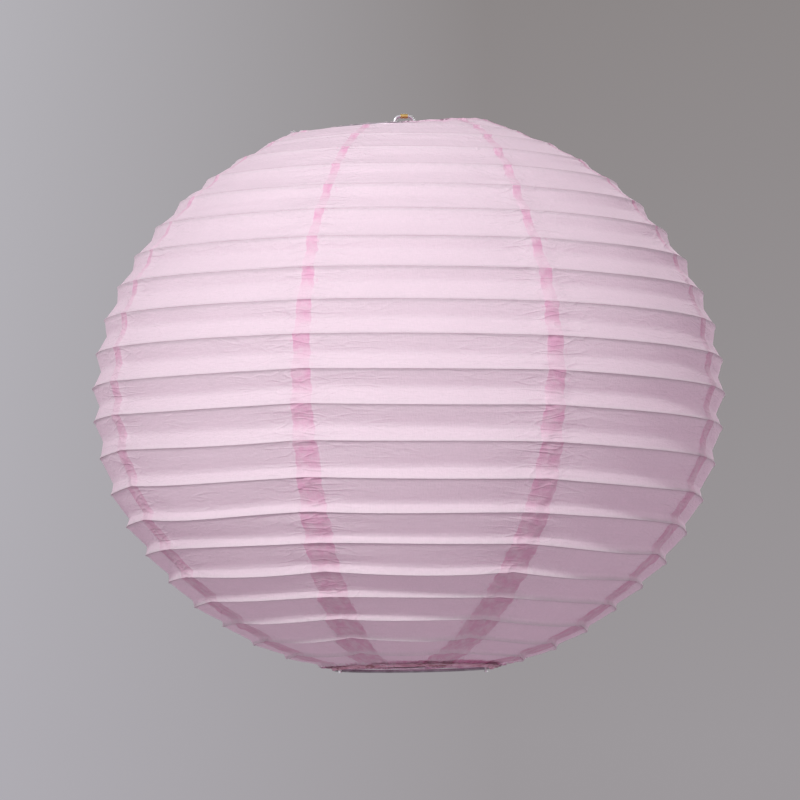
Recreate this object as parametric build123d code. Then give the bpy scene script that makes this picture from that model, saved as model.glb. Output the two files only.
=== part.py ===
from build123d import *
import math
import os

# Accordion paper lantern, millimetres. The origin is the hanging point: the underside of the brass
# sleeve on the hanging arch. +Z is up and the lantern's axis is Z. The fold-flat cover hangs below.

# ---- driving dimensions ----
PAPER_DIAMETER = 400.0  # across the paper at its widest rib
PAPER_HALF_HEIGHT = 177.8  # of the ellipsoid that the cover follows
PAPER_THICKNESS = 0.4
TOP_RING_DIAMETER = 106.8  # to the middle of the ring's wire
TOP_RING_SINK = 3.3  # the top ring's plane lies this far under the cover's own curve
BOTTOM_RING_DIAMETER = 101.0
RING_WIRE_DIAMETER = 2.0
HEM_THICKNESS = 0.7  # several layers of glued paper round a ring
RIB_WIRE_DIAMETER = 1.2
RIB_TURNS = 22
RIB_RUNS_PER_TURN = 36
RIB_START_ANGLE = 324.0  # where the spiral wire meets both rings, from +X towards +Y
RIB_END_FREE = 0.15  # turns left out at the bottom ring
RIB_TOP_FREE = 0.2  # turns left out at the top ring, past the crossbar
RIB_JOINT_GAP = 0.3  # between one turn and the next
SEAM_ANGLES = (26.0, 71.0, 115.0, 159.0, 203.0, 251.0, 297.0, 342.0)

EXPANDER_ANGLE = 10.0  # the crossbar's plane, from +X towards +Y
EXPANDER_WIRE_DIAMETER = 2.0
HANGER_HEIGHT = 12.0  # from the top ring's plane to the top of the hanging arch
ARCH_HALF_WIDTH = 6.2
ARCH_CORNER_RADIUS = 3.9
SLEEVE_DIAMETER = 2.9
SLEEVE_LENGTH = 4.6
TIP_REACH = 70.9  # from the axis to an up-turned end of the crossbar
LEFT_TIP_HEIGHT = 0.3  # over the top ring's plane, to the middle of the bent-over end
LEFT_TIP_TURN = 2.2  # the left end is bent over outwards by this much
RIGHT_TIP_HEIGHT = -5.0  # the right end stops under the paper
DIP_DEPTH = 10.5  # the crossbar outside the ring, under its plane
DIP_INNER_REACH = 63.0
SADDLE_OUTER_REACH = 56.5
BAR_BEND_RADIUS = 2.5
TIP_BEND_RADIUS = 1.2
EYE_REACH = 44.0  # from the axis to the pivot of a leg
EYE_RADIUS = 3.0  # to the middle of the eye's wire
LEG_SIDE_OFFSET = 3.2  # a leg stands this far to the side of the crossbar's plane
LEG_PIN_LENGTH = 7.2
LEG_BOW = 16.0  # from a leg's chord out to the corner that its bow rounds off
LEG_ELBOW_RADIUS = 1.6
LEG_BOW_RADIUS = 1400.0
LEG_FOOT_RADIUS = 20.0
LEG_TAIL = 3.0  # the foot runs straight this far above and below the bottom ring's plane
CLEARANCE = 0.3  # between pieces that move past each other
SNUG = 0.05  # between pieces that are fixed together

# ---- derived sizes ----
PAPER_RADIUS = PAPER_DIAMETER / 2
TOP_RING_RADIUS = TOP_RING_DIAMETER / 2
BOTTOM_RING_RADIUS = BOTTOM_RING_DIAMETER / 2
RING_WIRE_RADIUS = RING_WIRE_DIAMETER / 2
HEM_RADIUS = RING_WIRE_RADIUS + HEM_THICKNESS
RIB_WIRE_RADIUS = RIB_WIRE_DIAMETER / 2
EXPANDER_WIRE_RADIUS = EXPANDER_WIRE_DIAMETER / 2
SLEEVE_RADIUS = SLEEVE_DIAMETER / 2
TOP_RING_Z = SLEEVE_DIAMETER - HANGER_HEIGHT


def cover_height(radius):
    """Height of the cover's outer surface over its middle, at a distance from the axis."""
    return PAPER_HALF_HEIGHT * math.sqrt(1 - (radius / PAPER_RADIUS) ** 2)


MIDDLE_Z = TOP_RING_Z + TOP_RING_SINK - cover_height(TOP_RING_RADIUS)
BOTTOM_RING_Z = MIDDLE_Z - cover_height(BOTTOM_RING_RADIUS)
CROWN_Z = SLEEVE_RADIUS
SADDLE_Z = TOP_RING_Z - HEM_RADIUS - EXPANDER_WIRE_RADIUS - SNUG
DIP_Z = TOP_RING_Z - DIP_DEPTH
PIVOT_Z = SADDLE_Z - EYE_RADIUS


def in_expander(shape):
    """Turns a shape made in the XZ plane to the expander's plane."""
    return Rot(0, 0, EXPANDER_ANGLE) * shape


def torus(ring_radius, wire_radius, height):
    return Pos(0, 0, height) * Torus(ring_radius, wire_radius)


def wire_along(path, radius):
    """A round wire along a path."""
    section = Plane(origin=path @ 0, z_dir=path % 0) * Circle(radius)
    return sweep(section, path=path)


# ---- rings and hems ----
def ring(ring_radius, height):
    """A neck ring of steel wire."""
    return torus(ring_radius, RING_WIRE_RADIUS, height)


def hem(ring_radius, height, start_angle, arc):
    """Paper wrapped round a stretch of a neck ring and glued."""
    around = Circle(HEM_RADIUS) - Circle(RING_WIRE_RADIUS + SNUG)
    profile = Plane.XZ * Pos(ring_radius, 0) * around
    tube = revolve(profile, Axis.Z, revolution_arc=arc)
    return Pos(0, 0, height) * Rot(0, 0, start_angle) * tube


# ---- cover ----
def ball_arc(radius, top_edge, bottom_edge):
    """Arc of a circle about the origin, between two distances from the axis below and above."""
    low = math.degrees(math.acos(bottom_edge / radius))
    high = math.degrees(math.acos(top_edge / radius))
    return CenterArc((0, 0), radius, -low, low + high)


def gore(start_angle, end_angle):
    """One glued strip of the cover, from neck to neck: a slice of a thin ball, flattened in height."""
    top_edge = TOP_RING_RADIUS + HEM_RADIUS + CLEARANCE
    bottom_edge = BOTTOM_RING_RADIUS + HEM_RADIUS + CLEARANCE
    outer = ball_arc(PAPER_RADIUS, top_edge, bottom_edge)
    inner = ball_arc(PAPER_RADIUS - PAPER_THICKNESS, top_edge, bottom_edge)
    ends = [Line(outer @ 0, inner @ 0), Line(outer @ 1, inner @ 1)]
    profile = Plane.XZ * make_face([outer, inner] + ends)
    slice_of_ball = revolve(profile, Axis.Z, revolution_arc=end_angle - start_angle)
    strip = scale(slice_of_ball, by=(1, 1, PAPER_HALF_HEIGHT / PAPER_RADIUS))
    return Pos(0, 0, MIDDLE_Z) * Rot(0, 0, start_angle) * strip


def tip_hole():
    """The hole that the crossbar's left end stands in."""
    hole = Cylinder(EXPANDER_WIRE_RADIUS + CLEARANCE, 2 * DIP_DEPTH)
    return in_expander(Pos(-TIP_REACH, 0, TOP_RING_Z) * hole)


# ---- spiral rib ----
def meridian_point(turns):
    """Radius and height of the rib's middle line after a number of turns up from the bottom ring."""
    steps = 400
    low = -math.acos(BOTTOM_RING_RADIUS / PAPER_RADIUS)
    high = math.acos(TOP_RING_RADIUS / PAPER_RADIUS)
    inset = PAPER_THICKNESS + RIB_WIRE_RADIUS + SNUG
    half_width = PAPER_RADIUS - inset
    half_height = PAPER_HALF_HEIGHT - inset
    angles = [low + (high - low) * i / steps for i in range(steps + 1)]
    points = [(half_width * math.cos(a), half_height * math.sin(a)) for a in angles]
    lengths = [0.0]
    for a, b in zip(points, points[1:]):
        lengths.append(lengths[-1] + math.dist(a, b))
    wanted = lengths[-1] * turns / RIB_TURNS
    index = max(i for i in range(steps) if lengths[i] <= wanted)
    share = (wanted - lengths[index]) / (lengths[index + 1] - lengths[index])
    a, b = points[index], points[index + 1]
    return a[0] + (b[0] - a[0]) * share, a[1] + (b[1] - a[1]) * share


def rib_point(turns):
    """Point on the left-handed spiral, a number of turns up from the bottom ring."""
    radius, height = meridian_point(turns)
    angle = math.radians(RIB_START_ANGLE - 360 * turns)
    return radius * math.cos(angle), radius * math.sin(angle), MIDDLE_Z + height


def rib_turn(start, end):
    """One turn of the spiral, in short straight runs with mitred corners."""
    runs = round(RIB_RUNS_PER_TURN * (end - start))
    path = Polyline(*[rib_point(start + (end - start) * i / runs) for i in range(runs + 1)])
    section = Plane(origin=path @ 0, z_dir=path % 0) * Circle(RIB_WIRE_RADIUS)
    return sweep(section, path=path, transition=Transition.RIGHT)


def rib_wire():
    """The continuous rib, one solid a turn with hair gaps between."""
    gap = RIB_JOINT_GAP / (2 * math.pi * TOP_RING_RADIUS)
    limits = [RIB_END_FREE] + list(range(1, RIB_TURNS)) + [RIB_TURNS - RIB_TOP_FREE]
    turns = [rib_turn(low, high - gap) for low, high in zip(limits, limits[1:])]
    return Compound(children=turns)


# ---- expander ----
def half_crossbar_points(tip_height):
    """Corners of the crossbar's right half, from the arch's crown to the up-turned end."""
    return [
        (ARCH_HALF_WIDTH, CROWN_Z),
        (ARCH_HALF_WIDTH, SADDLE_Z),
        (SADDLE_OUTER_REACH, SADDLE_Z),
        (DIP_INNER_REACH, DIP_Z),
        (TIP_REACH, DIP_Z),
        (TIP_REACH, TOP_RING_Z + tip_height),
    ]


def crossbar():
    """One bent wire: up-turned ends, saddles under the top ring and the hanging arch, with two eyes."""
    right = half_crossbar_points(RIGHT_TIP_HEIGHT)
    left = half_crossbar_points(LEFT_TIP_HEIGHT)
    left.append((TIP_REACH + LEFT_TIP_TURN, TOP_RING_Z + LEFT_TIP_HEIGHT))
    left = [(-x, z) for x, z in reversed(left)]
    corners = [(x, 0, z) for x, z in left + right]
    radii = [BAR_BEND_RADIUS] * (len(corners) - 2)
    radii[0] = TIP_BEND_RADIUS
    crown = len(left) - 1
    radii[crown - 1] = ARCH_CORNER_RADIUS
    radii[crown] = ARCH_CORNER_RADIUS
    bar = wire_along(FilletPolyline(*corners, radius=radii), EXPANDER_WIRE_RADIUS)
    eye = Rot(90, 0, 0) * Torus(EYE_RADIUS, EXPANDER_WIRE_RADIUS)
    eyes = Pos(-EYE_REACH, 0, PIVOT_Z) * eye + Pos(EYE_REACH, 0, PIVOT_Z) * eye
    return in_expander(bar + eyes)


def hanger_sleeve():
    """Brass tube on the arch's crown, where the cord or hook bears."""
    length = SLEEVE_LENGTH
    tube = Cylinder(SLEEVE_RADIUS, length) - Cylinder(EXPANDER_WIRE_RADIUS + SNUG, length)
    return in_expander(Pos(0, 0, CROWN_Z) * Rot(0, 90, 0) * tube)


def leg(side):
    """A sprung leg: a pin through the crossbar's eye, a bowed shank, a foot inside the bottom ring."""
    foot_reach = BOTTOM_RING_RADIUS - HEM_RADIUS - CLEARANCE - EXPANDER_WIRE_RADIUS
    bow_reach = (EYE_REACH + foot_reach) / 2 + LEG_BOW
    offset = side * LEG_SIDE_OFFSET
    corners = [
        (side * EYE_REACH, offset - side * LEG_PIN_LENGTH, PIVOT_Z),
        (side * EYE_REACH, offset, PIVOT_Z),
        (side * bow_reach, offset, (PIVOT_Z + BOTTOM_RING_Z) / 2),
        (side * foot_reach, offset, BOTTOM_RING_Z + LEG_TAIL),
        (side * foot_reach, offset, BOTTOM_RING_Z - LEG_TAIL),
    ]
    radii = [LEG_ELBOW_RADIUS, LEG_BOW_RADIUS, LEG_FOOT_RADIUS]
    path = FilletPolyline(*corners, radius=radii)
    return in_expander(wire_along(path, EXPANDER_WIRE_RADIUS))


# ---- files ----
def write(node, shape):
    shape.label = node
    export_step(shape, f"parts/{node}.step")


def main():
    os.makedirs("parts", exist_ok=True)
    write("top_ring", ring(TOP_RING_RADIUS, TOP_RING_Z))
    write("bottom_ring", ring(BOTTOM_RING_RADIUS, BOTTOM_RING_Z))
    write("top_hem", hem(TOP_RING_RADIUS, TOP_RING_Z, 0, 360))
    write("bottom_hem", hem(BOTTOM_RING_RADIUS, BOTTOM_RING_Z, 180 + EXPANDER_ANGLE, 180))
    write("rib_wire", rib_wire())
    hole = tip_hole()
    ends = SEAM_ANGLES[1:] + (SEAM_ANGLES[0] + 360,)
    for number, (start, end) in enumerate(zip(SEAM_ANGLES, ends), 1):
        write(f"gore_{number}", gore(start, end) - hole)
    write("expander_crossbar", crossbar())
    write("hanger_sleeve", hanger_sleeve())
    write("expander_leg_left", leg(-1))
    write("expander_leg_right", leg(1))
    print("bottom ring z", BOTTOM_RING_Z, "top ring z", TOP_RING_Z, "pivot z", PIVOT_Z)


main()
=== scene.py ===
import bmesh
import bpy
import math
import numpy as np
from mathutils import Matrix, Vector


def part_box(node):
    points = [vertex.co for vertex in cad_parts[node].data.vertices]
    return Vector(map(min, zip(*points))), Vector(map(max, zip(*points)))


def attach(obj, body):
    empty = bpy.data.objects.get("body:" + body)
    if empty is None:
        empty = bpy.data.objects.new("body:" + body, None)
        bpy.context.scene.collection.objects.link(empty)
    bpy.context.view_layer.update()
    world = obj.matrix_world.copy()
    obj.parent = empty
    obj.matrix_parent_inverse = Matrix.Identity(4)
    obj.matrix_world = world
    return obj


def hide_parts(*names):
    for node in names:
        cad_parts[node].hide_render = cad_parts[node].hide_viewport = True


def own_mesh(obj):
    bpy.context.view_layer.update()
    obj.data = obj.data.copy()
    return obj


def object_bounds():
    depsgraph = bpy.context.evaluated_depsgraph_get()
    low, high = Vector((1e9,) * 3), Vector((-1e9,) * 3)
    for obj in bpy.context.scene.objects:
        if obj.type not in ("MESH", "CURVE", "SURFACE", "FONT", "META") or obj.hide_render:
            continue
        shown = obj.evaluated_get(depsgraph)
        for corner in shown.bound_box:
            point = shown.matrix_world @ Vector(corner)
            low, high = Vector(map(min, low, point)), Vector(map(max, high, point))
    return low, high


# Accordion paper lantern. Metres, +Z up, origin at the hanging point. The camera looks along +Y.

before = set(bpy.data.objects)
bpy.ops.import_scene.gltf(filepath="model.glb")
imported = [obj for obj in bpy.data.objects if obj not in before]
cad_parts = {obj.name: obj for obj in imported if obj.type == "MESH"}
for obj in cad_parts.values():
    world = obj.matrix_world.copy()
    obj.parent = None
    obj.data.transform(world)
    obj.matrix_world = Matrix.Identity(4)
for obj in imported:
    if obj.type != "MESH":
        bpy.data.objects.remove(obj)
cad_low, cad_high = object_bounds()

# ---- sizes from the frame ----
MM = 0.001


def ring_sizes(node):
    """Radius and height of a neck ring's middle line, and the radius of its wire."""
    low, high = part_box(node)
    wire = (high[2] - low[2]) / 2
    return (high[0] - low[0]) / 2 - wire, (high[2] + low[2]) / 2, wire


TOP_R, TOP_Z, RING_WIRE = ring_sizes("top_ring")
BOTTOM_R, BOTTOM_Z, _ = ring_sizes("bottom_ring")
COVER_R = (cad_high[0] - cad_low[0]) / 2
TOP_SHARE = math.sqrt(1 - (TOP_R / COVER_R) ** 2)
BOTTOM_SHARE = math.sqrt(1 - (BOTTOM_R / COVER_R) ** 2)
TOP_SINK = 3.3 * MM  # the top ring's plane lies this far under the cover's own curve
COVER_H = (TOP_Z + TOP_SINK - BOTTOM_Z) / (TOP_SHARE + BOTTOM_SHARE)
MIDDLE_Z = TOP_Z + TOP_SINK - COVER_H * TOP_SHARE

# ---- sizes of the cover ----
TURNS = 22  # of the spiral rib
RIB_START = math.radians(324)  # where the spiral meets both rings
SEAMS = [math.radians(a) for a in (26, 71, 115, 159, 203, 251, 297, 342)]
RIB_WIRE = 0.6 * MM  # radius
RIB_INSET = 1.25 * MM  # from the top of the paper's bead in to the wire's middle
LAP_GAP = 0.12 * MM  # half the distance between the two sheets of a glued lap
HAND_CUT = 0.6 * MM  # how far a gore's cut edges wander
COLUMNS = 72  # of a gore's mesh
BAY_ROWS = 20  # from one rib to the next
EXPANDER_ANGLE = math.radians(10)
ON_RIB = 1e-9  # keeps a row that lies on a rib from counting to the bay under it


# ---- small tools ----
def smooth(low, high, x):
    t = np.clip((x - low) / (high - low), 0, 1)
    return t * t * (3 - 2 * t)


def hashed(ix, iy, seed):
    """A repeatable random number from 0 to 1 for each whole (ix, iy)."""
    h = (ix.astype(np.int64) * 374761393 + iy.astype(np.int64) * 668265263 + seed * 144269) & 0xFFFFFFFF
    h = ((h ^ (h >> 13)) * 1274126177) & 0xFFFFFFFF
    return ((h ^ (h >> 16)) & 0xFFFFFF) / float(0xFFFFFF)


def noise(x, y, seed):
    """Smooth value noise from -1 to 1."""
    ix, iy = np.floor(x), np.floor(y)
    fx, fy = x - ix, y - iy
    fx, fy = fx * fx * (3 - 2 * fx), fy * fy * (3 - 2 * fy)
    a, b = hashed(ix, iy, seed), hashed(ix + 1, iy, seed)
    c, d = hashed(ix, iy + 1, seed), hashed(ix + 1, iy + 1, seed)
    return 2 * ((a * (1 - fx) + b * fx) * (1 - fy) + (c * (1 - fx) + d * fx) * fy) - 1


def mesh_object(name, points, faces):
    mesh = bpy.data.meshes.new(name)
    mesh.from_pydata([tuple(p) for p in points], [], faces)
    mesh.update()
    obj = bpy.data.objects.new(name, mesh)
    bpy.context.scene.collection.objects.link(obj)
    return obj


def grid_faces(rows, columns, closed=False):
    """Quads of a grid of points stored row by row."""
    faces = []
    for r in range(rows - 1):
        for c in range(columns if closed else columns - 1):
            d = (c + 1) % columns
            faces.append((r * columns + c, r * columns + d, (r + 1) * columns + d, (r + 1) * columns + c))
    return faces


def shade_smooth(obj):
    obj.data.polygons.foreach_set("use_smooth", [True] * len(obj.data.polygons))
    obj.data.update()


def tube(name, path, radius, sides=10, closed=False):
    """A round tube mesh along an array of points."""
    path = np.asarray(path)
    if closed:
        ahead = np.roll(path, -1, axis=0) - np.roll(path, 1, axis=0)
    else:
        ahead = np.gradient(path, axis=0)
    ahead /= np.linalg.norm(ahead, axis=1)[:, None]
    up = np.array([0, 0, 1.0])
    side = np.cross(ahead, up)
    side /= np.linalg.norm(side, axis=1)[:, None]
    over = np.cross(side, ahead)
    radius = np.broadcast_to(np.asarray(radius, float), (len(path),))
    angles = np.arange(sides) * 2 * math.pi / sides
    points = (
        path[:, None, :]
        + side[:, None, :] * (np.cos(angles)[None, :, None] * radius[:, None, None])
        + over[:, None, :] * (np.sin(angles)[None, :, None] * radius[:, None, None])
    ).reshape(-1, 3)
    faces = grid_faces(len(path), sides, closed=True)
    if closed:
        last = (len(path) - 1) * sides
        for c in range(sides):
            d = (c + 1) % sides
            faces.append((last + c, last + d, d, c))
    else:
        faces.append(tuple(range(sides)))
        faces.append(tuple((len(path) - 1) * sides + c for c in reversed(range(sides))))
    obj = mesh_object(name, points, faces)
    shade_smooth(obj)
    return obj


# ---- the meridian: distance along it, radius, height and outward normal ----
STEPS = 4000
_angle = np.linspace(-math.acos(BOTTOM_R / COVER_R), math.acos(TOP_R / COVER_R), STEPS + 1)
_radius = COVER_R * np.cos(_angle)
_height = COVER_H * np.sin(_angle)
_along = np.concatenate([[0], np.cumsum(np.hypot(np.diff(_radius), np.diff(_height)))])
LENGTH = _along[-1]
PITCH = LENGTH / TURNS


def meridian(turns):
    """Radius, height and the two parts of the outward normal, that many turns up from the bottom ring."""
    s = np.clip(turns, 0, TURNS) * PITCH
    angle = np.interp(s, _along, _angle)
    nr, nz = np.cos(angle) / COVER_R, np.sin(angle) / COVER_H
    size = np.hypot(nr, nz)
    return COVER_R * np.cos(angle), COVER_H * np.sin(angle), nr / size, nz / size


def spiral_offset(theta):
    """Turns from the bottom ring to the first rib at an angle; it runs on past 0 and 1 without a step."""
    return (RIB_START - theta) / (2 * math.pi) + 1


# how far two of the hand-laid seams swing sideways: heights over the middle, then each seam's swings in mm
SWING_HEIGHTS = np.array([-0.168, -0.13, -0.06, 0.11, 0.128, 0.152, 0.168])
SWINGS = {5: [-8.0, -6.0, -1.0, 0, 0, 0, 0], 6: [-10.0, -6.0, 0, 0, 3.0, 8.4, 15.0]}


def seam_angle(index, height, radius):
    """The angle of a seam at a height; seam 8 is seam 0 after a whole turn."""
    turn, number = divmod(index, len(SEAMS))
    swing = np.interp(height, SWING_HEIGHTS, SWINGS.get(number, [0] * len(SWING_HEIGHTS)))
    swing = swing + 0.9 * noise(height / 0.03, number * 1.7 + 0 * height, 61)
    return SEAMS[number] + turn * 2 * math.pi + swing * MM / radius


def seam_share(theta, height, radius):
    """How far an angle is from one seam to the next, from 0 to 1, and the angle between the two."""
    turn = SEAMS[0] + np.mod(theta - SEAMS[0], 2 * math.pi)
    share, width = np.zeros(turn.shape), np.ones(turn.shape)
    for index in range(-1, len(SEAMS) + 1):
        low, high = seam_angle(index, height, radius), seam_angle(index + 1, height, radius)
        inside = (turn >= low) & (turn < high)
        share = np.where(inside, (turn - low) / (high - low), share)
        width = np.where(inside, high - low, width)
    return share, width


def lap_half_width(height):
    """Half the width of a glued lap: narrow towards the top and wide towards the bottom."""
    return np.clip(6.2 * MM - 0.0325 * height, 3.0 * MM, 11 * MM)


def fold_share(height):
    """Where a bay's fold lies, from its upper rib (0) to its lower one (1)."""
    heights = [-0.165, -0.09, -0.06, -0.03, 0.0, 0.06, 0.12, 0.165]
    return np.interp(height, heights, [0.87, 0.85, 0.80, 0.64, 0.53, 0.38, 0.34, 0.34])


def bay_depth(height):
    """How deep a bay is drawn in at its fold."""
    heights = [-0.17, -0.14, -0.10, -0.06, 0.0, 0.08, 0.12, 0.15, 0.17]
    return np.interp(height, heights, [1.4, 2.5, 3.5, 4.0, 4.5, 3.9, 2.4, 1.0, 0.3]) * MM


def along_rib(turns, stretch, seed):
    """Noise that runs on along the spiral and differs from one rib to the next."""
    return noise(turns * stretch, 0 * turns + seed * 0.37, seed)


def rib_droop(turns, share, height):
    """How far a rib hangs between two seams, where only one sheet of paper holds it."""
    low = smooth(0.05, -0.10, height)
    lean = 0.5 * along_rib(turns, 4.3, 19)
    bulge = 4 * share * (1 - share) * (1 + lean * (2 * share - 1))
    return bulge * (0.35 + 1.7 * low) * (1 + 0.8 * along_rib(turns, 6.7, 17)) * MM


# the paper's rim: it follows the sunk top ring at the left and is crumpled up over it at the right
RISE_ANGLES = np.radians([262, 273, 292, 310, 333, 350, 380, 400])
RISES = np.array([0, 1.0, 2.2, 3.6, 5.0, 5.5, 3.0, 0]) * MM


def rim_rise(theta):
    """How far the paper's top rim stands over the sunk top ring."""
    turn = RISE_ANGLES[0] + np.mod(theta - RISE_ANGLES[0], 2 * math.pi)
    return np.interp(turn, RISE_ANGLES, RISES) + 0.35 * MM * noise(theta * 7, 0 * theta, 71)


# the expander's two ends push the paper up from inside
TENT_REACH = 72 * MM
TENT_WIDTH = 15 * MM


def tip_tent(theta, radius):
    """How far the paper is tented over the ends of the crossbar."""
    rise = 0
    for angle, height in ((EXPANDER_ANGLE, 1.6), (EXPANDER_ANGLE + math.pi, 2.6)):
        ahead = radius * np.cos(theta - angle) - TENT_REACH
        aside = radius * np.sin(theta - angle)
        rise = rise + height * MM * np.exp(-(ahead**2 + aside**2) / TENT_WIDTH**2)
    return rise


# the ribs were laid a little high round the lantern's middle
LIFT = 2.3 * MM
LIFT_HEIGHT = -25 * MM
LIFT_WIDTH = 35 * MM

BEAD = 0.55 * MM  # the paper is pasted over the rib's wire, which stands out as a bead
BEAD_WIDTH = 0.75 * MM


def bay_place(theta, row):
    """For a row of the mesh (whole numbers are ribs, halves are folds): the rib below, the share of the
    bay from that rib upwards, and the fold's share from the upper rib down."""
    rib = np.floor(row + ON_RIB)
    step = row - rib
    turns = rib + spiral_offset(theta)
    _, height, _, _ = meridian(np.clip(turns + 0.5, 0, TURNS))
    fold = fold_share(height) + 0.05 * along_rib(turns, 7.3, 5) + 0.02 * along_rib(turns, 31, 6)
    fold = np.clip(fold, 0.15, 0.9)
    near = 2 * np.minimum(step, 1 - step)
    near = 0.12 * near + 0.88 * near**2.2  # rows lie closer together beside a rib
    return rib, np.where(step < 0.5, (1 - fold) * near, 1 - fold * near), fold


FOLD_ROUND = 0.004  # of a fold, as a share of the bay's depth, squared


def bay_shape(up, fold):
    """A bay's depth from 0 to 1: a facet in from the rib below, a fold, a facet out to the rib above."""
    lower = np.clip(up / (1 - fold), 0, 1) ** 0.9
    upper = np.clip((1 - up) / fold, 0, 1) ** 0.94
    # a soft minimum of the two facets rounds the fold
    shape = (lower + upper - np.sqrt((lower - upper) ** 2 + FOLD_ROUND)) / 2
    return np.maximum(shape, 0)


def wrinkle_lift(theta, turns, height, edge, near):
    """How far wrinkles lift the paper, at a distance edge from a seam and near from a rib: long wrinkles
    along the ribs, stronger by the seams, and small puckers where a lap meets a rib."""
    x = theta * COVER_R
    s = turns * PITCH
    close = 1 - smooth(4 * MM, 50 * MM, edge)
    high = smooth(0.02, 0.12, height)
    patch = smooth(-0.1, 0.6, noise(x / 0.07, s / 0.05, 25))
    fan = 0.10 + 0.35 * close + 0.30 * high * patch
    long_ones = noise(x / 0.060 + s / 0.05, s / 0.0036, 21) * fan * MM
    long_ones = long_ones + noise(x / 0.022 + s / 0.016, s / 0.0070, 23) * (0.06 + 0.2 * close) * MM
    at_lap = 1 - smooth(0.6, 1.7, edge / lap_half_width(height))
    puckers = noise(x / 0.0042, s / 0.0040, 27) * 0.85 * MM * at_lap * (1 - smooth(1 * MM, 8 * MM, near))
    fade = smooth(0.3 * MM, 3 * MM, near)
    return long_ones * fade + puckers * smooth(0, 1 * MM, near)


def cover_points(theta, row, outward=0.0, floor=0.0):
    """Points of the cover, and how many turns up from the bottom ring they lie. No point lies under the
    floor, which is also in turns."""
    rib, up, fold = bay_place(theta, row)
    offset = spiral_offset(theta)
    turns = np.clip(rib + up + offset, floor, TURNS)
    up = np.clip(turns - offset - rib, 0, 1)
    r, z, nr, nz = meridian(turns)
    share, width = seam_share(theta, z, r)
    edge = r * np.minimum(share, 1 - share) * width
    near = np.minimum(up, 1 - up) * PITCH
    depth = bay_depth(z) * (1 + 0.2 * along_rib(rib + offset, 5.9, 9))
    stiff = 1 - 0.30 * (1 - smooth(2 * MM, 14 * MM, edge))
    inward = depth * stiff * bay_shape(up, fold)
    bead = BEAD * (1 - smooth(0, 1, near / (2 * BEAD_WIDTH)))
    droop = rib_droop(rib + offset, share, z) * (1 - up) + rib_droop(rib + 1 + offset, share, z) * up
    droop = droop * smooth(0, 1.5, turns) * smooth(0, 1.5, TURNS - turns)
    droop = droop - LIFT * np.exp(-(((z - LIFT_HEIGHT) / LIFT_WIDTH) ** 2))
    rim = (rim_rise(theta) - TOP_SINK) * smooth(TURNS - 1.1, TURNS, turns)
    rim = rim + tip_tent(theta, r) * smooth(0, 0.05, z)
    lift = wrinkle_lift(theta, turns, z, edge, near) + bead + outward
    rr = r + nr * (lift - inward)
    zz = z + nz * (lift - inward) - droop + rim
    return np.stack([rr * np.cos(theta), rr * np.sin(theta), MIDDLE_Z + zz], axis=-1), turns


# ---- materials ----
def new_material(name):
    material = bpy.data.materials.new(name)
    material.use_nodes = True
    nodes = material.node_tree.nodes
    nodes.clear()
    return material, nodes, material.node_tree.links


def mix_color(nodes, links, factor, a, b, blend="MIX"):
    """A colour mix node. Each input is a socket or a constant."""
    made = nodes.new("ShaderNodeMix")
    made.data_type = "RGBA"
    made.blend_type = blend
    for index, value in ((0, factor), (6, a), (7, b)):
        if isinstance(value, bpy.types.NodeSocket):
            links.new(value, made.inputs[index])
        elif index == 0:
            made.inputs[0].default_value = value
        else:
            made.inputs[index].default_value = (*value, 1)
    return made.outputs[2]


def math_node(nodes, links, operation, *values, clamp=False):
    made = nodes.new("ShaderNodeMath")
    made.operation = operation
    made.use_clamp = clamp
    for index, value in enumerate(values):
        if isinstance(value, bpy.types.NodeSocket):
            links.new(value, made.inputs[index])
        else:
            made.inputs[index].default_value = value
    return made.outputs[0]


def scaled(nodes, links, value, factor, offset):
    return math_node(nodes, links, "MULTIPLY_ADD", value, factor, offset)


def product(nodes, links, first, second):
    return math_node(nodes, links, "MULTIPLY", first, second)


def noise_node(nodes, links, vector, scale, detail=2.0, rough=0.5, stretch=(1, 1, 1)):
    mapping = nodes.new("ShaderNodeMapping")
    mapping.inputs["Scale"].default_value = stretch
    links.new(vector, mapping.inputs["Vector"])
    made = nodes.new("ShaderNodeTexNoise")
    made.inputs["Scale"].default_value = scale
    made.inputs["Detail"].default_value = detail
    made.inputs["Roughness"].default_value = rough
    links.new(mapping.outputs[0], made.inputs["Vector"])
    return made.outputs[0]


def ramp(nodes, links, value, low, high):
    """0 at low and 1 at high, which may be the smaller of the two."""
    made = nodes.new("ShaderNodeMapRange")
    made.clamp = True
    made.inputs["From Min"].default_value = low
    made.inputs["From Max"].default_value = high
    links.new(value, made.inputs["Value"])
    return made.outputs[0]


def attribute(nodes, name):
    made = nodes.new("ShaderNodeAttribute")
    made.attribute_name = name
    return made.outputs["Fac"]


def split_vector(nodes, links, vector):
    made = nodes.new("ShaderNodeSeparateXYZ")
    links.new(vector, made.inputs[0])
    return made.outputs


def bump_normal(nodes, links, height, strength, distance):
    made = nodes.new("ShaderNodeBump")
    made.inputs["Strength"].default_value = strength
    made.inputs["Distance"].default_value = distance
    links.new(height, made.inputs["Height"])
    return made.outputs[0]


def principled(nodes, links, inputs):
    """A Principled shader. Each input is a socket or a constant."""
    made = nodes.new("ShaderNodeBsdfPrincipled")
    for name, value in inputs.items():
        if isinstance(value, bpy.types.NodeSocket):
            links.new(value, made.inputs[name])
        else:
            made.inputs[name].default_value = value
    return made.outputs[0]


def show(nodes, links, shader):
    out = nodes.new("ShaderNodeOutputMaterial")
    links.new(shader, out.inputs[0])


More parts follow.
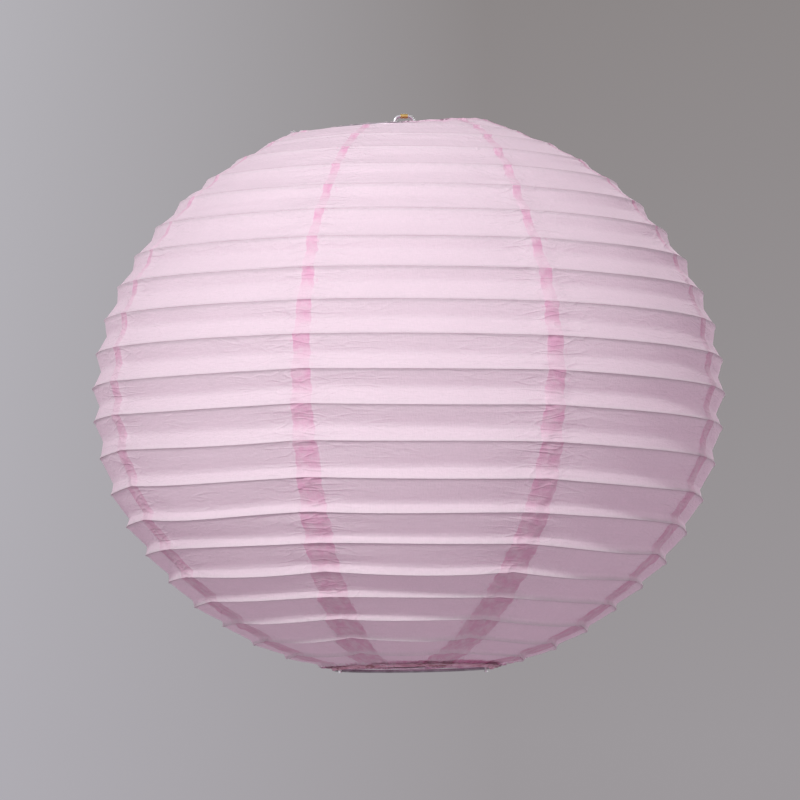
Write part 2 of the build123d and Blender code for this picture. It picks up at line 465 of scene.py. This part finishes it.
PAPER_FRONT = (0.89, 0.80, 0.85)  # light that the paper throws back
PAPER_THROUGH = (0.92, 0.62, 0.80)  # light that comes through it
LAP_FRONT = (0.84, 0.50, 0.68)
LAP_THROUGH = (0.78, 0.26, 0.50)
SPECK_COLOR = (0.10, 0.07, 0.07)
# the line under each rib: the wire showing through, and painted shade under its bead
WIRE_AND_SHADE_COLOR = (0.42, 0.22, 0.28)
LAP_WANDER = 4 * MM  # how far a lap's edge wanders, from its furthest in to its furthest out
GLUE_REACH = 6 * MM  # past a lap
EDGE_WANDER = 8 * MM
BOTTOM_TURN_IN = (7.5 * MM, 5.5 * MM)  # along the sheet: the tint begins, and is full
TOP_TURN_IN = (LENGTH - 4 * MM, LENGTH - 2 * MM)
CREASES = ((34, (0.5, 3.4, 1)), (60, (0.7, 2.2, 1)))  # scale and stretch of their noise
CREASE_WIDTH = 0.055  # of the noise's range
CREASE_HEIGHT = 1.3
TRANSLUCENT = 0.36  # share of the light that goes through one sheet
LAP_OPAQUE = 0.10  # a full lap tint takes this much from it


def lap_tint(nodes, links, where, seam, half, strength):
    """Tint of the glued laps, with a ragged edge, and of glue that crept past them."""
    wander = noise_node(nodes, links, where, 160, detail=3)
    wander = scaled(nodes, links, wander, LAP_WANDER, -LAP_WANDER / 2)
    inside = math_node(nodes, links, "SUBTRACT", math_node(nodes, links, "ADD", half, wander), seam)
    lap = product(nodes, links, ramp(nodes, links, inside, -0.2 * MM, 0.4 * MM), strength)
    past = math_node(nodes, links, "SUBTRACT", seam, half)
    stains = noise_node(nodes, links, where, 210, detail=4, rough=0.65)
    stains = ramp(nodes, links, stains, 0.56, 0.66)
    glue = product(nodes, links, ramp(nodes, links, past, GLUE_REACH, 0.0), stains)
    glue = product(nodes, links, glue, 0.5)
    return math_node(nodes, links, "MAXIMUM", lap, glue, clamp=True)


def turn_in_tint(nodes, links, where, strength):
    """Tint of the several layers that are turned in by the rings."""
    wander = noise_node(nodes, links, where, 120, detail=3)
    wander = scaled(nodes, links, wander, EDGE_WANDER, -EDGE_WANDER / 2)
    along = math_node(nodes, links, "ADD", split_vector(nodes, links, where)["Y"], wander)
    bottom = product(nodes, links, ramp(nodes, links, along, *BOTTOM_TURN_IN), strength)
    top = product(nodes, links, ramp(nodes, links, along, *TOP_TURN_IN), 0.35)
    return math_node(nodes, links, "MAXIMUM", bottom, top)


def paper_shade(nodes, links, where, grain):
    """A grey that the paper's colours are multiplied by: its grain, and soft clouds."""
    shade = scaled(nodes, links, grain, 0.10, 0.90)
    cloud = noise_node(nodes, links, where, 26, detail=4, rough=0.6)
    shade = math_node(nodes, links, "ADD", shade, scaled(nodes, links, cloud, 0.06, -0.03))
    grey = nodes.new("ShaderNodeCombineColor")
    for index in range(3):
        links.new(shade, grey.inputs[index])
    return grey.outputs[0]


def dirt_specks(nodes, links, where):
    """Small dark specks, far apart."""
    cells = nodes.new("ShaderNodeTexVoronoi")
    cells.inputs["Scale"].default_value = 14
    links.new(where, cells.inputs["Vector"])
    return ramp(nodes, links, cells.outputs["Distance"], 0.012, 0.006)


def wire_and_shade_line(nodes, links, where):
    """A thin brown line under each rib, more in some stretches than in others: the wire showing through,
    and painted shade under its bead.
    """
    under_rib = ramp(nodes, links, attribute(nodes, "bay"), 0.895, 0.955)
    uneven = ramp(nodes, links, noise_node(nodes, links, where, 22, detail=3), 0.35, 0.62)
    return product(nodes, links, under_rib, scaled(nodes, links, uneven, 0.5, 0.3))


def paper_relief(nodes, links, where, seam, grain):
    """Grain and crinkle, and creases: thin raised lines by the seams, and a few in the open paper."""
    crinkle = noise_node(nodes, links, where, 300, detail=4, rough=0.6, stretch=(0.45, 1.6, 1))
    relief = scaled(nodes, links, crinkle, 2.0, grain)
    by_seam = ramp(nodes, links, seam, 45 * MM, 8 * MM)
    spots = ramp(nodes, links, noise_node(nodes, links, where, 17, detail=2), 0.50, 0.62)
    amount = math_node(nodes, links, "MAXIMUM", by_seam, product(nodes, links, spots, 0.55))
    for scale, stretch in CREASES:
        wave = noise_node(nodes, links, where, scale, detail=1, stretch=stretch)
        line = math_node(nodes, links, "ABSOLUTE", math_node(nodes, links, "SUBTRACT", wave, 0.5))
        line = product(nodes, links, ramp(nodes, links, line, CREASE_WIDTH, 0.0), amount)
        relief = scaled(nodes, links, line, CREASE_HEIGHT, relief)
    return relief


def paper_material():
    """Thin dyed paper: part of the light comes through it. Lengths are metres over the sheet."""
    material, nodes, links = new_material("lantern_paper")
    uv = nodes.new("ShaderNodeUVMap")
    uv.uv_map = "paper"
    where = uv.outputs[0]
    seam = math_node(nodes, links, "ABSOLUTE", attribute(nodes, "seam_offset"))
    half = attribute(nodes, "lap_half")
    patches = ramp(nodes, links, noise_node(nodes, links, where, 95, detail=3, rough=0.6), 0.38, 0.62)
    strength = scaled(nodes, links, patches, 0.55, 0.45)
    tint_and_shade = lap_tint(nodes, links, where, seam, half, strength)
    # painted shade: the lap tint is kept full on the upper facets, which face down into shade, and cut to
    # about a quarter on the lit lower facets under a fold
    facet = ramp(nodes, links, attribute(nodes, "bay"), 0.38, 0.60)
    tint_and_shade = product(nodes, links, tint_and_shade, scaled(nodes, links, facet, 0.74, 0.26))
    tint_and_shade = math_node(nodes, links, "MAXIMUM", tint_and_shade, turn_in_tint(nodes, links, where, strength))
    # fibres run both ways over the sheet
    fibre = noise_node(nodes, links, where, 900, detail=3, rough=0.7, stretch=(1.0, 0.25, 1))
    weave = noise_node(nodes, links, where, 900, detail=3, rough=0.7, stretch=(0.25, 1.0, 1))
    grain = math_node(nodes, links, "ADD", fibre, weave)
    shade = paper_shade(nodes, links, where, grain)
    front = mix_color(nodes, links, tint_and_shade, PAPER_FRONT, LAP_FRONT)
    front = mix_color(nodes, links, 1.0, front, shade, "MULTIPLY")
    front = mix_color(nodes, links, dirt_specks(nodes, links, where), front, SPECK_COLOR)
    # a brown line painted under each rib: the wire showing through, and painted shade under its bead
    front = mix_color(nodes, links, wire_and_shade_line(nodes, links, where), front, WIRE_AND_SHADE_COLOR)
    through = mix_color(nodes, links, tint_and_shade, PAPER_THROUGH, LAP_THROUGH)
    through = mix_color(nodes, links, 1.0, through, shade, "MULTIPLY")
    relief = paper_relief(nodes, links, where, seam, grain)
    normal = bump_normal(nodes, links, relief, 0.6, 0.3 * MM)
    inputs = {"Base Color": front, "Roughness": 0.72, "Sheen Weight": 0.15, "Specular IOR Level": 0.25}
    body = principled(nodes, links, inputs | {"Normal": normal})
    glow = nodes.new("ShaderNodeBsdfTranslucent")
    links.new(through, glow.inputs["Color"])
    links.new(normal, glow.inputs["Normal"])
    both = nodes.new("ShaderNodeMixShader")
    links.new(scaled(nodes, links, tint_and_shade, -LAP_OPAQUE, TRANSLUCENT), both.inputs[0])
    links.new(body, both.inputs[1])
    links.new(glow.outputs[0], both.inputs[2])
    show(nodes, links, both.outputs[0])
    return material


def wire_material(name, color, dark, metallic, roughness):
    """Drawn wire: fine streaks, dull patches and a little tarnish."""
    material, nodes, links = new_material(name)
    place = nodes.new("ShaderNodeTexCoord").outputs["Object"]
    patches = ramp(nodes, links, noise_node(nodes, links, place, 120, detail=4, rough=0.6), 0.35, 0.7)
    streaks = noise_node(nodes, links, place, 1600, detail=3, rough=0.6)
    rough = scaled(nodes, links, patches, 0.18, roughness)
    rough = math_node(nodes, links, "ADD", rough, scaled(nodes, links, streaks, 0.1, -0.05))
    inputs = {
        "Metallic": metallic,
        "Base Color": mix_color(nodes, links, patches, color, dark),
        "Roughness": rough,
        "Normal": bump_normal(nodes, links, streaks, 0.25, 0.05 * MM),
    }
    show(nodes, links, principled(nodes, links, inputs))
    return material


def hem_material(name, dark, light, stain, stain_share):
    """Several layers of paper glued round a ring, crinkled, and stained where the wire shows through."""
    material, nodes, links = new_material(name)
    place = nodes.new("ShaderNodeTexCoord").outputs["Object"]
    blotch = ramp(nodes, links, noise_node(nodes, links, place, 150, detail=4, rough=0.65), 0.36, 0.68)
    rust = noise_node(nodes, links, place, 90, detail=3, rough=0.6)
    rust = ramp(nodes, links, rust, 0.72 - stain_share, 0.80 - stain_share)
    color = mix_color(nodes, links, blotch, dark, light)
    color = mix_color(nodes, links, rust, color, stain)
    fine = noise_node(nodes, links, place, 900, detail=4, rough=0.7)
    normal = bump_normal(nodes, links, fine, 0.7, 0.3 * MM)
    show(nodes, links, principled(nodes, links, {"Base Color": color, "Roughness": 0.65, "Normal": normal}))
    return material


# ---- the cover: eight glued gores ----
EDGE_STAND = 0.50  # turns that the torn edge lies over the ring's far half
EDGE_TAPER = 0.08  # radians, at each end of that half
BELOW_RIB = 0.06  # turns that the torn edge stays under the first rib


def open_edge(theta):
    """How many turns over the bottom ring the paper's torn edge lies: none over the ring's near half."""
    far = np.mod(theta - EXPANDER_ANGLE, 2 * math.pi)
    bare = smooth(0.0, EDGE_TAPER, far) * (1 - smooth(math.pi - EDGE_TAPER, math.pi, far))
    below_rib = np.mod(spiral_offset(theta), 1) - BELOW_RIB
    return bare * np.minimum(EDGE_STAND + 0.03 * noise(theta * 9, theta * 0, 41), below_rib)


def merge_clipped(obj):
    """Merges the points that were clipped together at the rings."""
    work = bmesh.new()
    work.from_mesh(obj.data)
    bmesh.ops.remove_doubles(work, verts=work.verts, dist=1e-6)
    bmesh.ops.dissolve_degenerate(work, edges=work.edges, dist=1e-7)
    work.to_mesh(obj.data)
    work.free()


def gore(number):
    """One strip of paper from ring to ring, lapped over the strip before it."""
    share = np.linspace(0, 1, COLUMNS + 1)[None, :]
    # more rows than turns: the spare ones are clipped to the rings and merged
    low = math.floor(-spiral_offset(SEAMS[0])) - 1
    rows = (low + np.arange((TURNS + 4) * BAY_ROWS) / BAY_ROWS)[:, None]
    roughly = SEAMS[number - 1] + 2 * math.pi / len(SEAMS) * share
    radius, height, _, _ = meridian(np.clip(rows + spiral_offset(roughly), 0, TURNS))
    start = seam_angle(number - 1, height, radius)
    end = seam_angle(number, height, radius)
    lap = lap_half_width(height)
    # the sheet runs half a lap past each seam line, cut by hand
    ragged_start = HAND_CUT * noise(rows * 1.3, rows * 0 + number, 51)
    ragged_end = HAND_CUT * noise(rows * 1.3, rows * 0 + number, 53)
    left = start - (lap + ragged_start) / radius
    right = end + (lap + ragged_end) / radius
    theta = left + (right - left) * share
    over = 1 - smooth(0.8, 1.6, (theta - start) * radius / lap)
    under = 1 - smooth(0.8, 1.6, (end - theta) * radius / lap)
    points, turns = cover_points(theta, rows + 0 * theta, LAP_GAP * (over - under), open_edge(theta))
    obj = mesh_object(f"cover_gore_{number}", points.reshape(-1, 3), grid_faces(*theta.shape))
    mesh = obj.data
    nearest = np.minimum(np.abs(theta - start), np.abs(theta - end)) * radius
    up = rows - np.floor(rows + ON_RIB) + 0 * theta
    for name, values in (("seam_offset", nearest), ("lap_half", lap + 0 * theta), ("bay", up)):
        made = mesh.attributes.new(name, "FLOAT", "POINT")
        made.data.foreach_set("value", values.reshape(-1).astype(np.float32))
    corner = np.empty(len(mesh.loops), dtype=np.int64)
    mesh.loops.foreach_get("vertex_index", corner)
    uv = np.stack([(theta * COVER_R).reshape(-1), (turns * PITCH).reshape(-1)], axis=-1)[corner]
    layer = mesh.uv_layers.new(name="paper")
    layer.data.foreach_set("uv", uv.reshape(-1).astype(np.float32))
    merge_clipped(obj)
    shade_smooth(obj)
    return obj


paper = paper_material()
gores = []
for number in range(1, len(SEAMS) + 1):
    piece = gore(number)
    piece.data.materials.append(paper)
    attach(piece, "hanger")
    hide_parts(f"gore_{number}")
    gores.append(piece)

# ---- the spiral rib ----
RIB_END_FREE = 0.02  # turns left out at each ring
RIB_STEPS = 200  # in each turn
rib_turns = np.linspace(RIB_END_FREE, TURNS - RIB_END_FREE, RIB_STEPS * TURNS)
rib_theta = SEAMS[0] + np.mod(RIB_START - 2 * math.pi * rib_turns - SEAMS[0], 2 * math.pi)
rib_number = np.round(rib_turns - spiral_offset(rib_theta))
# the rib's own bead is the paper's: the wire lies inside it, under the same droop
rib_path, _ = cover_points(rib_theta, rib_number, -RIB_INSET)
rib = tube("rib_spiral", rib_path, RIB_WIRE, 8)
rib.data.materials.append(wire_material("rib_steel", (0.30, 0.24, 0.26), (0.16, 0.10, 0.11), 0.6, 0.5))
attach(rib, "hanger")
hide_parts("rib_wire")

for piece in gores + [rib]:
    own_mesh(piece)

# ---- metal parts of the frame ----
ring_steel = wire_material("ring_steel", (0.42, 0.38, 0.42), (0.24, 0.20, 0.23), 0.85, 0.38)
bright_steel = wire_material("expander_steel", (0.82, 0.82, 0.84), (0.55, 0.54, 0.56), 1.0, 0.16)
brass = wire_material("sleeve_brass", (0.86, 0.62, 0.22), (0.60, 0.38, 0.12), 1.0, 0.22)
for name, material in (
    ("top_ring", ring_steel),
    ("bottom_ring", ring_steel),
    ("expander_crossbar", bright_steel),
    ("expander_leg_left", bright_steel),
    ("expander_leg_right", bright_steel),
    ("hanger_sleeve", brass),
):
    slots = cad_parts[name].data.materials
    slots.clear()
    slots.append(material)

# ---- hems: the paper's edges turned in round the rings ----
HEM = 0.22 * MM  # of paper on the wire
THINNEST = RING_WIRE / (RING_WIRE + HEM) + 0.04  # share of the wrapped radius, just over the bare wire
HEM_PAST = 0.06  # radians that the bottom hem runs on past each end of the near half
HEM_STEPS = 360
WRAP_STEPS = 10


def hem_profile(theta, radius, height, apex_out, apex_up, upper):
    """Points round a ring's wire for each angle, drawn out to an edge that lies over or under the paper."""
    wrap = np.linspace(0, math.pi, WRAP_STEPS)[None, :] * (-1 if upper else 1)
    turned = wrap if upper else wrap + math.pi
    crinkle = 1 + 0.16 * noise(theta[:, None] * 26, wrap * 1.6, 81)
    size = (RING_WIRE + HEM) * np.maximum(crinkle, THINNEST)
    out = size * np.cos(turned)
    rise = size * np.sin(turned)
    edge = np.stack([apex_out, apex_up], axis=-1)[:, None, :]
    profile = np.concatenate([np.stack([out, rise], axis=-1), edge], axis=1)
    r = radius + profile[..., 0]
    z = height + profile[..., 1]
    points = np.stack([r * np.cos(theta)[:, None], r * np.sin(theta)[:, None], z], axis=-1)
    return points.reshape(-1, 3)


def top_hem():
    """The top ring's hem: its edge reaches up to the paper's crumpled rim."""
    theta = np.linspace(0, 2 * math.pi, HEM_STEPS, endpoint=False)
    apex_up = np.maximum(rim_rise(theta), RING_WIRE + HEM) + 0.2 * MM * noise(theta * 30, 0 * theta, 83)
    points = hem_profile(theta, TOP_R, TOP_Z, 0 * theta - 0.3 * MM, apex_up, True)
    faces = grid_faces(HEM_STEPS, WRAP_STEPS + 1, closed=True)
    last, count = (HEM_STEPS - 1) * (WRAP_STEPS + 1), WRAP_STEPS + 1
    faces += [(last + c, last + (c + 1) % count, (c + 1) % count, c) for c in range(count)]
    return mesh_object("top_rim_hem", points, faces)


def bottom_hem():
    """The bottom ring's hem, on its near half only: a torn flap lies over the paper outside the ring."""
    start = EXPANDER_ANGLE + math.pi - HEM_PAST
    end = EXPANDER_ANGLE + 2 * math.pi + HEM_PAST
    theta = np.linspace(start, end, HEM_STEPS)
    taper = smooth(0, 0.10, theta - start) * smooth(0, 0.10, end - theta)
    flap = (2.2 + 2.6 * taper + 1.0 * noise(theta * 11, 0 * theta, 85)) * MM
    slope = COVER_H**2 * BOTTOM_R / (COVER_R**2 * (MIDDLE_Z - BOTTOM_Z))
    hang = (0.5 + 0.5 * noise(theta * 17, 0 * theta, 87)) * MM
    points = hem_profile(theta, BOTTOM_R, BOTTOM_Z, flap + RING_WIRE, flap * slope - hang, False)
    faces = grid_faces(HEM_STEPS, WRAP_STEPS + 1, closed=True)
    count = WRAP_STEPS + 1
    faces.append(tuple(range(count)))
    faces.append(tuple((HEM_STEPS - 1) * count + c for c in reversed(range(count))))
    return mesh_object("bottom_neck_hem", points, faces)


pale = hem_material("rim_paper", (0.70, 0.52, 0.62), (0.82, 0.70, 0.77), (0.50, 0.24, 0.32), 0.02)
deep = hem_material("neck_paper", (0.56, 0.24, 0.34), (0.78, 0.46, 0.58), (0.36, 0.15, 0.19), 0.17)
for piece, body, material, stands_for in (
    (top_hem(), "hanger", pale, "top_hem"),
    (bottom_hem(), "bottom_neck", deep, "bottom_hem"),
):
    shade_smooth(piece)
    piece.data.materials.append(material)
    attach(piece, body)
    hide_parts(stands_for)

# ---- camera ----
VIEW_DISTANCE = 4.779
VIEW_ELEVATION = math.radians(-4.3)
LENS = 339.4  # millimetres, on a sensor 36 mm wide
MIDDLE_RIGHT = 5.45 * MM  # the lantern's middle stands this far right of the frame's middle
MIDDLE_UP = 2.218 * MM  # and this far above it
ROLL = math.radians(0.955)


def add_camera():
    middle = Vector((0, 0, MIDDLE_Z))
    ahead = Vector((0, math.cos(VIEW_ELEVATION), -math.sin(VIEW_ELEVATION)))
    right = Vector((1, 0, 0))
    up = right.cross(ahead)
    turned_up = up * math.cos(ROLL) + right * math.sin(ROLL)
    turned_right = right * math.cos(ROLL) - up * math.sin(ROLL)
    target = middle - turned_right * MIDDLE_RIGHT - turned_up * MIDDLE_UP
    data = bpy.data.cameras.new("camera")
    data.lens = LENS
    data.sensor_width = 36
    data.clip_end = 100
    camera = bpy.data.objects.new("camera", data)
    bpy.context.scene.collection.objects.link(camera)
    columns = (turned_right, turned_up, -ahead)
    turn = Matrix([[c[i] for c in columns] for i in range(3)]).to_4x4()
    camera.matrix_world = Matrix.Translation(target - ahead * VIEW_DISTANCE) @ turn
    bpy.context.scene.camera = camera


add_camera()

# ---- stage and light ----
FLOOR_Z = -5.6  # far enough down that a camera under the lantern is still over the floor


def add_floor():
    size = 30.0
    points = [(x * size, y * size, FLOOR_Z) for x, y in ((-1, -1), (1, -1), (1, 1), (-1, 1))]
    floor = mesh_object("floor", points, [(0, 1, 2, 3)])
    material, nodes, links = new_material("floor")
    inputs = {"Base Color": (0.62, 0.60, 0.62, 1), "Roughness": 0.9}
    show(nodes, links, principled(nodes, links, inputs))
    floor.data.materials.append(material)


def area_light(name, place, size, watts, color):
    """A round light that shines at the lantern's middle."""
    data = bpy.data.lights.new(name, "AREA")
    data.shape = "DISK"
    data.size = size
    data.energy = watts
    data.color = color
    light = bpy.data.objects.new(name, data)
    bpy.context.scene.collection.objects.link(light)
    light.location = place
    ahead = Vector((0, 0, MIDDLE_Z)) - Vector(place)
    light.rotation_euler = ahead.to_track_quat("-Z", "Y").to_euler()


def direction_from(azimuth, elevation, distance):
    """A place seen from the lantern's middle, in degrees left (-) or right of the camera and above it."""
    turn, lift = math.radians(azimuth), math.radians(elevation)
    flat = distance * math.cos(lift)
    return (flat * math.sin(turn), -flat * math.cos(turn), MIDDLE_Z + distance * math.sin(lift))


# the wall's colours, low and high up
WALL_LEFT = ((0.43, 0.415, 0.45), (0.46, 0.45, 0.48))
WALL_RIGHT = ((0.335, 0.315, 0.33), (0.262, 0.242, 0.242))
WALL_BEHIND_CAMERA = (0.76, 0.72, 0.76)


def add_world():
    """A studio wall: pale at the left, darker to the right and upwards, and brighter behind the camera."""
    world = bpy.data.worlds.new("studio")
    bpy.context.scene.world = world
    world.use_nodes = True
    nodes, links = world.node_tree.nodes, world.node_tree.links
    nodes.clear()
    place = nodes.new("ShaderNodeTexCoord").outputs["Generated"]
    split = split_vector(nodes, links, place)
    side = ramp(nodes, links, split["X"], -0.055, 0.012)
    above = ramp(nodes, links, split["Z"], 0.03, 0.13)
    behind_camera = ramp(nodes, links, split["Y"], 0.6, -0.4)
    left = mix_color(nodes, links, above, *WALL_LEFT)
    right = mix_color(nodes, links, above, *WALL_RIGHT)
    color = mix_color(nodes, links, side, left, right)
    color = mix_color(nodes, links, behind_camera, color, WALL_BEHIND_CAMERA)
    back = nodes.new("ShaderNodeBackground")
    links.new(color, back.inputs["Color"])
    back.inputs["Strength"].default_value = 1.0
    out = nodes.new("ShaderNodeOutputWorld")
    links.new(back.outputs[0], out.inputs[0])


add_floor()
add_world()
area_light("key", direction_from(-21, 27, 4.0), 0.5, 108, (1.0, 0.985, 0.99))
area_light("back", direction_from(165, 12, 4.0), 2.4, 60, (1.0, 0.98, 0.99))
bpy.context.scene.view_settings.view_transform = "Standard"
